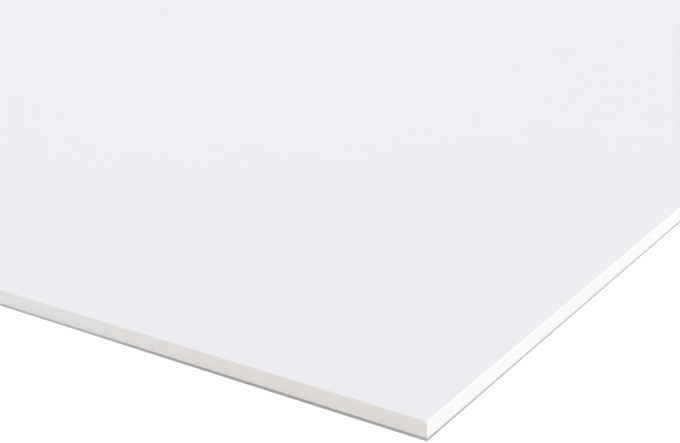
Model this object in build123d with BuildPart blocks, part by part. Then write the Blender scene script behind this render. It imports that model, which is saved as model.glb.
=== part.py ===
from build123d import *
import os

# Stock size of the sheet, in millimetres
SHEET_LENGTH = 2440.0
SHEET_WIDTH = 1220.0
THICKNESS = 10.0

# The cut edges are eased along both faces, and the four upright corners are only just blunted
ARRIS_RADIUS = 0.5
CORNER_RADIUS = 0.3

# The sheet lies flat, its underside on the ground plane and centred on the origin,
# with its length along X and its width along Y
with BuildPart() as foam_board:
    with BuildSketch(Plane.XY):
        RectangleRounded(SHEET_LENGTH, SHEET_WIDTH, CORNER_RADIUS)
    extrude(amount=THICKNESS)

    # The outline of the underside and the outline of the top face, each eased all the way round
    rims = foam_board.edges().group_by(Axis.Z)
    fillet(rims[0] + rims[-1], ARRIS_RADIUS)

foam_board.part.label = "foam_board"
os.makedirs("parts", exist_ok=True)
export_step(foam_board.part, "parts/foam_board.step")
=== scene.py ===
import math

import bmesh
import bpy
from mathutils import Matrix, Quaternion, Vector


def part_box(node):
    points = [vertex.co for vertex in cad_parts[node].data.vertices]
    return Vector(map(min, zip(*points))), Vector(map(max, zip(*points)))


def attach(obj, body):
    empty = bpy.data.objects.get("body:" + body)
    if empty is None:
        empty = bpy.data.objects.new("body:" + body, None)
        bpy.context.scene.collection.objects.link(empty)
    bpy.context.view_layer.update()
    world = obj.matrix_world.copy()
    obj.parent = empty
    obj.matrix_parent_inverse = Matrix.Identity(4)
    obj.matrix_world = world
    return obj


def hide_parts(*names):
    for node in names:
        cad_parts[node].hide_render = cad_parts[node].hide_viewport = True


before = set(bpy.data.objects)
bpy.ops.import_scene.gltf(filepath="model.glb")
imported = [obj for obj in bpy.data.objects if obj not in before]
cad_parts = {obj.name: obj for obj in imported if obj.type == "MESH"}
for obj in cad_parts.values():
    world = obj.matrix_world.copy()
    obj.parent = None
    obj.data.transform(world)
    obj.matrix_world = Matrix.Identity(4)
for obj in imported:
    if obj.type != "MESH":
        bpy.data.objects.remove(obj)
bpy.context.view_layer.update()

MM = 0.001
NODE = "foam_board"
SKIN, CUT_EDGE = 0, 1

# The sheet, as it was sawn and eased
SHEET_LOW, SHEET_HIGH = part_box(NODE)
NEAR_CORNER = Vector((SHEET_HIGH.x, SHEET_LOW.y, SHEET_LOW.z))
ARRIS_RADIUS = 0.5 * MM
CORNER_RADIUS = 0.3 * MM
ARRIS_STEPS = 8
ROUND_PROFILE = 0.5

# A face whose direction is more than this share up or down is skin, and any other is sawn
LIES_FLAT = 0.5

# The view: how far the camera stands beyond the short end, in front of the long side and above
# the floor, the way that it looks, and its lens on a 36 mm wide sensor
CAMERA_BEYOND_END = 0.31997
CAMERA_IN_FRONT = 0.49261
CAMERA_HEIGHT = 0.36174
CAMERA_YAW = math.radians(36.595)
CAMERA_PITCH = math.radians(22.572)
CAMERA_ROLL = math.radians(3.274)
PHOTO_WIDTH = 680
FOCAL_LENGTH_PIXELS = 1386.5
SENSOR_WIDTH = 36.0
CLIP_NEAR = 0.01
CLIP_FAR = 200.0

# Light on the sheet: an even sky, light back from the floor, and a soft lamp beyond the short end.
# Each level is the share of a plain white's brightness that it gives a face turned to it
SKY_LEVEL = 0.8
SKY_IN_VIEW = 1.0
PLAIN_WHITE = (1.0, 1.0, 1.0, 1.0)
SIDE_LEVEL = 0.350
SIDE_TINT = (0.92, 1.012, 1.037)
SIDE_AZIMUTH = math.radians(5.0)
SIDE_ELEVATION = math.radians(33.0)
SIDE_SPREAD = math.radians(20.0)
LAMP_DISTANCE = 3.0

# The floor, and a lamp for it alone, which turns it white and leaves a narrow shadow along the
# sheet. What it throws back on the sheet is part bounce, which the shadow dims, and part glow
FLOOR_SIZE = 80.0
FLOOR_BOUNCE = 0.05
FLOOR_GLOW = 0.708
FLOOR_LAMP_LEVEL = 1.65
SHADOW_REACH_FRONT = 0.232
SHADOW_REACH_END = 0.122
FLOOR_LAMP_SPREAD = math.radians(5.0)

# How bright the floor is in view, and so how light its shadow, is painted shade: the floor's colour
# is darker around a place in front of the long side near the corner, lighter from a hand's span away,
# and darker again beyond half a metre
FLOOR_COLOUR = 0.42
FLOOR_PAINTED_SHADE_ALONG = 0.09
FLOOR_PAINTED_SHADE_IN_FRONT = 0.10
FLOOR_RISE = 0.145
FLOOR_RISE_START = 0.09
FLOOR_RISE_END = 0.21
FLOOR_FALL = 0.15
FLOOR_FALL_START = 0.50
FLOOR_FALL_END = 0.90

# The range that the raw noise rarely leaves, and its middle in each colour
NOISE_LOW = 0.25
NOISE_HIGH = 0.75
NOISE_MIDDLE = (0.5, 0.5, 0.5)

# The rub along every arris: its reach on the sawn edge and on the skin, the share of the reach over
# which it is full, how far its limit wanders, and how much of the foam's white it lays bare. On the
# sawn edge the same mask also darkens the rounded arris, as painted shade that tempers its highlight
RUB_AND_SHADE_ON_EDGE = 0.65 * MM
RUB_ON_SKIN = 2.4 * MM
RUB_FULL = 0.3
RUB_WANDER = 0.15
RUB_LAYS_BARE = 0.45

# The skin, which the die drew out along the sheet's length
SKIN_WHITE = (0.852, 0.829, 0.869)
SKIN_ROUGHNESS = 0.42
SKIN_LINE_STRETCH = 120.0

# Each pattern of the skin: the size of its patches, its detail and its seed
SKIN_DRIFT = (0.70, 1.0, 13.0)
SKIN_TINT = (0.50, 1.0, 55.0)
SKIN_FLOW = (22.0 * MM, 2.0, 3.0)
SKIN_DIE_LINES = (1.8 * MM, 3.0, 4.0)
SKIN_PEEL = (4.5 * MM, 1.0, 5.0)
SKIN_GRAIN = (1.1 * MM, 2.0, 6.0)
SKIN_PIPS = (0.4 * MM, 1.0, 7.0)
SKIN_RUB_LIMIT = (3.5 * MM, 3.0, 8.0)

# What each pattern adds to the skin, the relief in metres
SKIN_LIGHTNESS_SHARES = {"drift": 0.017, "flow": 0.004, "die_lines": 0.002, "grain": 0.008}
SKIN_WARMTH_SHARES = {"tint": 0.006}
SKIN_ROUGHNESS_SHARES = {"drift": 0.02, "flow": 0.03, "die_lines": 0.03, "grain": 0.03, "rub_and_shade": 0.05}
SKIN_RELIEF_SHARES = {"peel": 1.2e-5, "die_lines": 1.5e-6, "grain": 1.1e-5, "pips": 2.0e-6}

# The sawn foam: cells of about a fifth of a millimetre and a few larger pores, fewer and tighter in
# the dense band next to the skins
EDGE_WHITE = (0.870, 0.843, 0.825)
EDGE_ROUGHNESS = 0.58
SAW_SLANT = 0.12
SAW_PITCH = 2.6 * MM
SAW_UNEVENNESS = 3.0
DENSE_FULL = 0.5 * MM
DENSE_GONE = 1.6 * MM
DENSE_WANDER = 0.1 * MM
CELL_SIZE = 0.19 * MM
PORE_SPACING = 0.5 * MM
PORE_LARGEST = 0.55
PORE_RARITY = 2.2
FOAM_UNEVENNESS = 0.30 * MM
FOAM_SHIFT = 0.30 * MM
SCRATCH_START = -0.3
SCRATCH_FULL = 0.5
CELLS_IN_DENSE_BAND = 0.25

# Each pattern of the sawn edge: the size of its patches, its detail and its seed
EDGE_WANDER = (1.5 * MM, 2.0, 11.0)
EDGE_PATCHES = (6.0 * MM, 2.0, 12.0)
EDGE_TINT = (10.0 * MM, 1.0, 13.0)
SAW_MARKS = (1.6 * MM, 3.0, 14.0)
SAW_DRIFT = (14.0 * MM, 2.0, 15.0)
SAW_SCRATCHES = (0.35 * MM, 2.0, 16.0)
EDGE_DRIFT = (0.35, 1.0, 156.0)

# What the sawn edge starts from, and what each pattern adds to it, the relief in metres
EDGE_LIGHTNESS = 0.001
EDGE_WARMTH = 0.003
EDGE_LIGHTNESS_SHARES = {
    "drift": 0.060,
    "patches": 0.014,
    "saw_marks": 0.008,
    "saw_drift": 0.008,
    "ripple": 0.003,
    "scratches": 0.010,
    # Painted shade, partly a rub: the rounded arrises are made darker, which tempers their highlight
    "rub_and_shade": -0.030,
    "core": -0.074,
    # Painted shade in the foam: the cells' middles and the pores are darker than the walls
    "walls": 0.130,
    "pores": -0.08,
}
EDGE_WARMTH_SHARES = {"tint": 0.008, "drift": -0.018}
EDGE_ROUGHNESS_SHARES = {"core": 0.12, "patches": 0.03, "saw_marks": 0.04, "pores": 0.05}
EDGE_RELIEF_SHARES = {
    "walls": 2.2e-5,
    "pores": -5.0e-5,
    "saw_marks": 1.5e-5,
    "ripple": 6.0e-6,
    "scratches": 3.0e-6,
}

# The numbers of a Mix node's sockets for colours, which share their names with those for values
MIX_COLOUR_A, MIX_COLOUR_B, MIX_COLOUR_RESULT = 6, 7, 2


def feed(tree, socket, value):
    """Link a socket's value to an input, or set a plain value on it."""
    if isinstance(value, bpy.types.NodeSocket):
        tree.links.new(value, socket)
    else:
        socket.default_value = value


def calculate(tree, operation, first, second):
    """The result of a Math node on two values."""
    node = tree.nodes.new("ShaderNodeMath")
    node.operation = operation
    feed(tree, node.inputs[0], first)
    feed(tree, node.inputs[1], second)
    return node.outputs["Value"]


def add_up(tree, start, shares):
    """A plain value plus the sum of each pattern times its share."""
    total = start
    for pattern, share in shares:
        total = calculate(tree, "ADD", total, calculate(tree, "MULTIPLY", pattern, share))
    return total


def add_patterns(tree, start, patterns, shares):
    """A plain value plus the share of each pattern that is named."""
    return add_up(tree, start, [(patterns[name], share) for name, share in shares.items()])


def ramp(tree, value, from_here, to_here):
    """A smooth rise from 0 to 1 while value goes from the first place to the second."""
    node = tree.nodes.new("ShaderNodeMapRange")
    node.interpolation_type = "SMOOTHSTEP"
    feed(tree, node.inputs["Value"], value)
    feed(tree, node.inputs["From Min"], from_here)
    feed(tree, node.inputs["From Max"], to_here)
    return node.outputs["Result"]


def new_group(name, inputs, outputs):
    """An empty node group, with its input and output nodes. Each input has a kind and a usual value."""
    group = bpy.data.node_groups.new(name, "ShaderNodeTree")
    for label, (kind, usual) in inputs.items():
        socket = group.interface.new_socket(name=label, in_out="INPUT", socket_type=kind)
        if usual is not None:
            socket.default_value = usual
    for label, kind in outputs.items():
        group.interface.new_socket(name=label, in_out="OUTPUT", socket_type=kind)
    return group, group.nodes.new("NodeGroupInput"), group.nodes.new("NodeGroupOutput")


def make_cloud_group():
    """A soft random pattern that swings between -1 and 1 over patches of the given size."""
    group, given, result = new_group(
        "cloud",
        {
            "Vector": ("NodeSocketVector", None),
            "Patch Size": ("NodeSocketFloat", 10.0 * MM),
            "Detail": ("NodeSocketFloat", 2.0),
            "Seed": ("NodeSocketFloat", 0.0),
        },
        {"Swing": "NodeSocketFloat"},
    )
    noise = group.nodes.new("ShaderNodeTexNoise")
    noise.noise_dimensions = "4D"
    group.links.new(given.outputs["Vector"], noise.inputs["Vector"])
    group.links.new(given.outputs["Detail"], noise.inputs["Detail"])
    group.links.new(given.outputs["Seed"], noise.inputs["W"])
    feed(group, noise.inputs["Scale"], calculate(group, "DIVIDE", 1.0, given.outputs["Patch Size"]))
    spread = group.nodes.new("ShaderNodeMapRange")
    group.links.new(noise.outputs["Fac"], spread.inputs["Value"])
    spread.inputs["From Min"].default_value = NOISE_LOW
    spread.inputs["From Max"].default_value = NOISE_HIGH
    spread.inputs["To Min"].default_value = -1.0
    spread.inputs["To Max"].default_value = 1.0
    group.links.new(spread.outputs["Result"], result.inputs["Swing"])


def make_shade_group():
    """A white made lighter or darker, and warmer or cooler, by small shares."""
    group, given, result = new_group(
        "shade_of_white",
        {
            "White": ("NodeSocketColor", (0.85, 0.85, 0.85, 1.0)),
            "Lightness": ("NodeSocketFloat", 0.0),
            "Warmth": ("NodeSocketFloat", 0.0),
        },
        {"Color": "NodeSocketColor"},
    )
    level = calculate(group, "ADD", 1.0, given.outputs["Lightness"])
    factors = group.nodes.new("ShaderNodeCombineXYZ")
    feed(group, factors.inputs["X"], calculate(group, "ADD", level, given.outputs["Warmth"]))
    feed(group, factors.inputs["Y"], level)
    feed(group, factors.inputs["Z"], calculate(group, "SUBTRACT", level, given.outputs["Warmth"]))
    product = group.nodes.new("ShaderNodeVectorMath")
    product.operation = "MULTIPLY"
    group.links.new(given.outputs["White"], product.inputs[0])
    group.links.new(factors.outputs["Vector"], product.inputs[1])
    group.links.new(product.outputs["Vector"], result.inputs["Color"])


def make_rub_and_shade_group():
    """Where an arris has been rubbed and, on the sawn edge, darkened as painted shade: from 1 beside it to
    0 at the reach, with a limit that wanders.
    """
    group, given, result = new_group(
        "arris_rub_and_shade",
        {
            "Distance": ("NodeSocketFloat", 0.0),
            "Reach": ("NodeSocketFloat", 1.0 * MM),
            "Wander": ("NodeSocketFloat", 0.0),
        },
        {"Rub": "NodeSocketFloat"},
    )
    reach = given.outputs["Reach"]
    stray = calculate(group, "MULTIPLY", given.outputs["Wander"], reach)
    stray = calculate(group, "MULTIPLY", stray, RUB_WANDER)
    distance = calculate(group, "ADD", given.outputs["Distance"], stray)
    rub_and_shade = ramp(group, distance, reach, calculate(group, "MULTIPLY", reach, RUB_FULL))
    group.links.new(rub_and_shade, result.inputs["Rub"])


def new_material(name):
    """A node material with its shader and the place on the object of each point."""
    material = bpy.data.materials.new(name)
    material.use_nodes = True
    tree = material.node_tree
    place = tree.nodes.new("ShaderNodeTexCoord").outputs["Object"]
    return material, tree, tree.nodes["Principled BSDF"], place


def cloud(tree, place, size, detail, seed):
    """A pattern of the cloud group in a material."""
    node = tree.nodes.new("ShaderNodeGroup")
    node.node_tree = bpy.data.node_groups["cloud"]
    feed(tree, node.inputs["Vector"], place)
    node.inputs["Patch Size"].default_value = size
    node.inputs["Detail"].default_value = detail
    node.inputs["Seed"].default_value = seed
    return node.outputs["Swing"]


def arris_rub_and_shade(tree, distance, reach, wander):
    """The group for the rub and the painted shade at an arris, in a material."""
    node = tree.nodes.new("ShaderNodeGroup")
    node.node_tree = bpy.data.node_groups["arris_rub_and_shade"]
    feed(tree, node.inputs["Distance"], distance)
    node.inputs["Reach"].default_value = reach
    feed(tree, node.inputs["Wander"], wander)
    return node.outputs["Rub"]


def split_place(tree, place):
    """The X, Y and Z of a place."""
    parts = tree.nodes.new("ShaderNodeSeparateXYZ")
    tree.links.new(place, parts.inputs["Vector"])
    return parts.outputs["X"], parts.outputs["Y"], parts.outputs["Z"]


def inside(tree, value, low, high):
    """How far a coordinate is from the nearer of its two limits."""
    from_low = calculate(tree, "SUBTRACT", value, low)
    from_high = calculate(tree, "SUBTRACT", high, value)
    return calculate(tree, "MINIMUM", from_low, from_high)


def blend(tree, share, first, second):
    """The first colour with a share of the second in it."""
    node = tree.nodes.new("ShaderNodeMix")
    node.data_type = "RGBA"
    tree.links.new(share, node.inputs["Factor"])
    node.inputs[MIX_COLOUR_A].default_value = (*first, 1.0)
    node.inputs[MIX_COLOUR_B].default_value = (*second, 1.0)
    return node.outputs[MIX_COLOUR_RESULT]


def cells(tree, place, size):
    """How far each point is from the middle of its cell, as a share of the size, and a chance per cell."""
    node = tree.nodes.new("ShaderNodeTexVoronoi")
    node.feature = "F1"
    node.inputs["Scale"].default_value = 1.0 / size
    tree.links.new(place, node.inputs["Vector"])
    split = tree.nodes.new("ShaderNodeSeparateColor")
    tree.links.new(node.outputs["Color"], split.inputs["Color"])
    return node.outputs["Distance"], split.outputs["Red"]


def unsettle(tree, place, size, shift):
    """The place moved about at random by up to half the shift, so that nothing on it is quite regular."""
    noise = tree.nodes.new("ShaderNodeTexNoise")
    noise.inputs["Scale"].default_value = 1.0 / size
    tree.links.new(place, noise.inputs["Vector"])
    swing = tree.nodes.new("ShaderNodeVectorMath")
    swing.operation = "SUBTRACT"
    tree.links.new(noise.outputs["Color"], swing.inputs[0])
    swing.inputs[1].default_value = NOISE_MIDDLE
    moved = tree.nodes.new("ShaderNodeVectorMath")
    moved.operation = "MULTIPLY_ADD"
    tree.links.new(swing.outputs["Vector"], moved.inputs[0])
    moved.inputs[1].default_value = (shift, shift, shift)
    tree.links.new(place, moved.inputs[2])
    return moved.outputs["Vector"]


def finish_surface(tree, shader, white, lightness, warmth, roughness, relief):
    """Put a surface's colour, roughness and relief in metres on its shader."""
    shade = tree.nodes.new("ShaderNodeGroup")
    shade.node_tree = bpy.data.node_groups["shade_of_white"]
    feed(tree, shade.inputs["White"], white)
    feed(tree, shade.inputs["Lightness"], lightness)
    feed(tree, shade.inputs["Warmth"], warmth)
    tree.links.new(shade.outputs["Color"], shader.inputs["Base Color"])
    tree.links.new(roughness, shader.inputs["Roughness"])
    bump = tree.nodes.new("ShaderNodeBump")
    bump.inputs["Distance"].default_value = 1.0
    tree.links.new(relief, bump.inputs["Height"])
    tree.links.new(bump.outputs["Normal"], shader.inputs["Normal"])


def skin_material():
    """The closed, satin skin of both faces, with faint lines along the way it was extruded."""
    material, tree, shader, place = new_material("satin_skin")
    pull = tree.nodes.new("ShaderNodeMapping")
    pull.inputs["Scale"].default_value = (1.0 / SKIN_LINE_STRETCH, 1.0, 1.0)
    tree.links.new(place, pull.inputs["Vector"])
    drawn = pull.outputs["Vector"]

    # The rub beside the arrises, which lays some of the foam's white bare
    x, y, _ = split_place(tree, place)
    from_end = inside(tree, x, SHEET_LOW.x, SHEET_HIGH.x)
    from_side = inside(tree, y, SHEET_LOW.y, SHEET_HIGH.y)
    from_arris = calculate(tree, "MINIMUM", from_end, from_side)
    rub_and_shade = arris_rub_and_shade(tree, from_arris, RUB_ON_SKIN, cloud(tree, place, *SKIN_RUB_LIMIT))
    white = blend(tree, calculate(tree, "MULTIPLY", rub_and_shade, RUB_LAYS_BARE), SKIN_WHITE, EDGE_WHITE)

    patterns = {
        "drift": cloud(tree, place, *SKIN_DRIFT),
        "tint": cloud(tree, place, *SKIN_TINT),
        "flow": cloud(tree, drawn, *SKIN_FLOW),
        "die_lines": cloud(tree, drawn, *SKIN_DIE_LINES),
        "peel": cloud(tree, place, *SKIN_PEEL),
        "grain": cloud(tree, place, *SKIN_GRAIN),
        "pips": cloud(tree, place, *SKIN_PIPS),
        "rub_and_shade": rub_and_shade,
    }
    lightness = add_patterns(tree, 0.0, patterns, SKIN_LIGHTNESS_SHARES)
    warmth = add_patterns(tree, 0.0, patterns, SKIN_WARMTH_SHARES)
    roughness = add_patterns(tree, SKIN_ROUGHNESS, patterns, SKIN_ROUGHNESS_SHARES)
    relief = add_patterns(tree, 0.0, patterns, SKIN_RELIEF_SHARES)
    finish_surface(tree, shader, white, lightness, warmth, roughness, relief)
    return material


def cut_edge_material():
    """The sawn edge: cut foam cells, faint saw marks, and a denser band along each skin."""
    material, tree, shader, place = new_material("sawn_foam_edge")
    x, y, z = split_place(tree, place)

    # Along an edge only X or Y changes, so their sum runs along all four
    along = calculate(tree, "ADD", x, y)
    slanted = calculate(tree, "ADD", along, calculate(tree, "MULTIPLY", z, SAW_SLANT))
    travel = tree.nodes.new("ShaderNodeCombineXYZ")
    tree.links.new(slanted, travel.inputs["X"])
    sawn = travel.outputs["Vector"]

    # Depth below the nearer face, the core that starts under the dense band, and the rub at the arris,
    # which on this edge is also painted shade
    depth = inside(tree, z, SHEET_LOW.z, SHEET_HIGH.z)
    wander = cloud(tree, place, *EDGE_WANDER)
    core = ramp(tree, add_up(tree, depth, [(wander, DENSE_WANDER)]), DENSE_FULL, DENSE_GONE)
    rub_and_shade = arris_rub_and_shade(tree, depth, RUB_AND_SHADE_ON_EDGE, wander)

    # Fine cells everywhere, whose walls stand up between them, and a larger open pore here and there.
    # Their middles and the pores are also painted darker, as shade in the hollows
    openness = add_up(tree, CELLS_IN_DENSE_BAND, [(core, 1.0 - CELLS_IN_DENSE_BAND)])
    foamed = unsettle(tree, place, FOAM_UNEVENNESS, FOAM_SHIFT)
    from_middle, _ = cells(tree, foamed, CELL_SIZE)
    walls = calculate(tree, "MULTIPLY", from_middle, openness)
    from_middle, chance = cells(tree, foamed, PORE_SPACING)
    rim = calculate(tree, "MULTIPLY", calculate(tree, "POWER", chance, PORE_RARITY), PORE_LARGEST)
    pores = calculate(tree, "MULTIPLY", ramp(tree, from_middle, rim, 0.0), openness)

    # The saw's even ripple, and fine scratches where it pressed on the foam
    saw_drift = cloud(tree, sawn, *SAW_DRIFT)
    turns = calculate(tree, "DIVIDE", slanted, SAW_PITCH)
    phase = add_up(tree, 0.0, [(turns, 2.0 * math.pi), (saw_drift, SAW_UNEVENNESS)])
    ripple = calculate(tree, "SINE", phase, 0.0)
    patches = cloud(tree, place, *EDGE_PATCHES)
    pressed = ramp(tree, patches, SCRATCH_START, SCRATCH_FULL)
    scratches = calculate(tree, "MULTIPLY", cloud(tree, sawn, *SAW_SCRATCHES), pressed)

    patterns = {
        "drift": cloud(tree, sawn, *EDGE_DRIFT),
        "patches": patches,
        "tint": cloud(tree, place, *EDGE_TINT),
        "saw_marks": cloud(tree, sawn, *SAW_MARKS),
        "saw_drift": saw_drift,
        "ripple": ripple,
        "scratches": scratches,
        "rub_and_shade": rub_and_shade,
        "core": core,
        "walls": walls,
        "pores": pores,
    }
    lightness = add_patterns(tree, EDGE_LIGHTNESS, patterns, EDGE_LIGHTNESS_SHARES)
    warmth = add_patterns(tree, EDGE_WARMTH, patterns, EDGE_WARMTH_SHARES)
    roughness = add_patterns(tree, EDGE_ROUGHNESS, patterns, EDGE_ROUGHNESS_SHARES)
    relief = add_patterns(tree, 0.0, patterns, EDGE_RELIEF_SHARES)
    finish_surface(tree, shader, (*EDGE_WHITE, 1.0), lightness, warmth, roughness, relief)
    return material


def make_board():
    """The whole sheet as one closed mesh, with its arrises and corners rounded."""
    shape = bmesh.new()
    bmesh.ops.create_cube(shape, size=1.0)
    bmesh.ops.scale(shape, vec=SHEET_HIGH - SHEET_LOW, verts=shape.verts)
    bmesh.ops.translate(shape, vec=(SHEET_LOW + SHEET_HIGH) / 2, verts=shape.verts)
    for face in shape.faces:
        face.smooth = True
        face.material_index = SKIN if abs(face.normal.z) > LIES_FLAT else CUT_EDGE

    weights = shape.edges.layers.float.new("bevel_weight_edge")
    for edge in shape.edges:
        upright = edge.verts[0].co.z != edge.verts[1].co.z
        edge[weights] = CORNER_RADIUS / ARRIS_RADIUS if upright else 1.0

    mesh = bpy.data.meshes.new("board")
    shape.to_mesh(mesh)
    shape.free()
    board = bpy.data.objects.new("board", mesh)
    bpy.context.scene.collection.objects.link(board)

    easing = board.modifiers.new("eased_edges", "BEVEL")
    easing.limit_method = "WEIGHT"
    easing.offset_type = "OFFSET"
    easing.width = ARRIS_RADIUS
    easing.segments = ARRIS_STEPS
    easing.profile = ROUND_PROFILE
    easing.material = CUT_EDGE
    easing.harden_normals = True

    board.data.materials.append(skin_material())
    board.data.materials.append(cut_edge_material())
    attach(board, "root")
    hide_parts(NODE)


def pick_for_sight(tree, lit, seen):
    """The first value for the light thrown on things, and the second for what is seen or mirrored."""
    rays = tree.nodes.new("ShaderNodeLightPath")
    sight = calculate(tree, "MAXIMUM", rays.outputs["Is Camera Ray"], rays.outputs["Is Glossy Ray"])
    sight = calculate(tree, "MAXIMUM", sight, rays.outputs["Is Transmission Ray"])
    pick = tree.nodes.new("ShaderNodeMix")
    pick.data_type = "FLOAT"
    tree.links.new(sight, pick.inputs["Factor"])
    feed(tree, pick.inputs["A"], lit)
    feed(tree, pick.inputs["B"], seen)
    return pick.outputs["Result"]


def floor_material():
    """A matt white that glows on the sheet but not into the camera, and whose colour in view holds painted
    shade around a place near the corner.
    """
    material = bpy.data.materials.new("matt_floor")
    material.use_nodes = True
    tree = material.node_tree
    tree.nodes.clear()
    output = tree.nodes.new("ShaderNodeOutputMaterial")
    place = tree.nodes.new("ShaderNodeTexCoord").outputs["Object"]

    # Painted shade: the floor's colour in view is darker around this place, lighter in a ring, and darker
    # far off
    from_painted_shade = tree.nodes.new("ShaderNodeVectorMath")
    from_painted_shade.operation = "DISTANCE"
    tree.links.new(place, from_painted_shade.inputs[0])
    from_painted_shade.inputs[1].default_value = NEAR_CORNER - Vector((FLOOR_PAINTED_SHADE_ALONG, FLOOR_PAINTED_SHADE_IN_FRONT, 0.0))
    away = ramp(tree, from_painted_shade.outputs["Value"], FLOOR_RISE_START, FLOOR_RISE_END)
    far = ramp(tree, from_painted_shade.outputs["Value"], FLOOR_FALL_START, FLOOR_FALL_END)
    seen = add_up(tree, FLOOR_COLOUR, [(away, FLOOR_RISE), (far, -FLOOR_FALL)])

    matt = tree.nodes.new("ShaderNodeBsdfDiffuse")
    tree.links.new(pick_for_sight(tree, FLOOR_BOUNCE, seen), matt.inputs["Color"])
    glow = tree.nodes.new("ShaderNodeEmission")
    tree.links.new(pick_for_sight(tree, FLOOR_GLOW, 0.0), glow.inputs["Strength"])
    both = tree.nodes.new("ShaderNodeAddShader")
    tree.links.new(matt.outputs["BSDF"], both.inputs[0])
    tree.links.new(glow.outputs["Emission"], both.inputs[1])
    tree.links.new(both.outputs["Shader"], output.inputs["Surface"])
    return material


def make_floor():
    """A matt floor that shows as plain white, keeps the sheet's shadow and throws light on its edges."""
    shape = bmesh.new()
    bmesh.ops.create_grid(shape, x_segments=1, y_segments=1, size=FLOOR_SIZE / 2)
    mesh = bpy.data.meshes.new("floor")
    shape.to_mesh(mesh)
    shape.free()
    floor = bpy.data.objects.new("floor", mesh)
    bpy.context.scene.collection.objects.link(floor)
    floor.data.materials.append(floor_material())
    return floor


def make_world():
    """An even sky for the object, which the camera and the gloss see as white."""
    world = bpy.data.worlds.new("studio")
    bpy.context.scene.world = world
    world.use_nodes = True
    tree = world.node_tree
    tree.nodes.clear()
    output = tree.nodes.new("ShaderNodeOutputWorld")
    background = tree.nodes.new("ShaderNodeBackground")
    background.inputs["Color"].default_value = PLAIN_WHITE
    tree.links.new(pick_for_sight(tree, SKY_LEVEL, SKY_IN_VIEW), background.inputs["Strength"])
    tree.links.new(background.outputs["Background"], output.inputs["Surface"])


def make_lamp(name, level, towards, spread):
    """A distant lamp in the direction towards. Level 1 lights a white face turned to it to white."""
    lamp = bpy.data.lights.new(name, "SUN")
    lamp.energy = level * math.pi
    lamp.angle = spread
    holder = bpy.data.objects.new(name, lamp)
    holder.rotation_euler = towards.to_track_quat("Z", "Y").to_euler()
    holder.location = towards.normalized() * LAMP_DISTANCE
    bpy.context.scene.collection.objects.link(holder)
    return holder


def make_side_lamp():
    """The soft lamp beyond the short end, which makes the edge there the brightest face."""
    flat = math.cos(SIDE_ELEVATION)
    level_part = (flat * math.cos(SIDE_AZIMUTH), flat * math.sin(SIDE_AZIMUTH))
    towards = Vector((*level_part, math.sin(SIDE_ELEVATION)))
    lamp = make_lamp("side_lamp", SIDE_LEVEL, towards, SIDE_SPREAD)
    lamp.data.color = SIDE_TINT


def make_floor_lamp(floor):
    """A high lamp that lights the floor alone. A shadow reach is a length per height of what casts it."""
    towards = Vector((-SHADOW_REACH_END, SHADOW_REACH_FRONT, 1.0))
    lamp = make_lamp("floor_lamp", FLOOR_LAMP_LEVEL * towards.length, towards, FLOOR_LAMP_SPREAD)
    lit = bpy.data.collections.new("lit_floor")
    lit.objects.link(floor)
    lamp.light_linking.receiver_collection = lit


def make_camera():
    """The photograph's view of the near corner."""
    data = bpy.data.cameras.new("camera")
    data.sensor_width = SENSOR_WIDTH
    data.lens = FOCAL_LENGTH_PIXELS * SENSOR_WIDTH / PHOTO_WIDTH
    data.clip_start = CLIP_NEAR
    data.clip_end = CLIP_FAR
    camera = bpy.data.objects.new("camera", data)
    camera.location = NEAR_CORNER + Vector((CAMERA_BEYOND_END, -CAMERA_IN_FRONT, CAMERA_HEIGHT))
    flat = math.cos(CAMERA_PITCH)
    ahead = Vector((-flat * math.sin(CAMERA_YAW), flat * math.cos(CAMERA_YAW), -math.sin(CAMERA_PITCH)))
    roll = Quaternion((0.0, 0.0, 1.0), -CAMERA_ROLL)
    camera.rotation_mode = "QUATERNION"
    camera.rotation_quaternion = ahead.to_track_quat("-Z", "Y") @ roll
    bpy.context.scene.collection.objects.link(camera)
    bpy.context.scene.camera = camera


make_cloud_group()
make_shade_group()
make_rub_and_shade_group()
make_camera()
make_world()
make_side_lamp()
make_floor_lamp(make_floor())
make_board()
bpy.context.scene.view_settings.view_transform = "Standard"
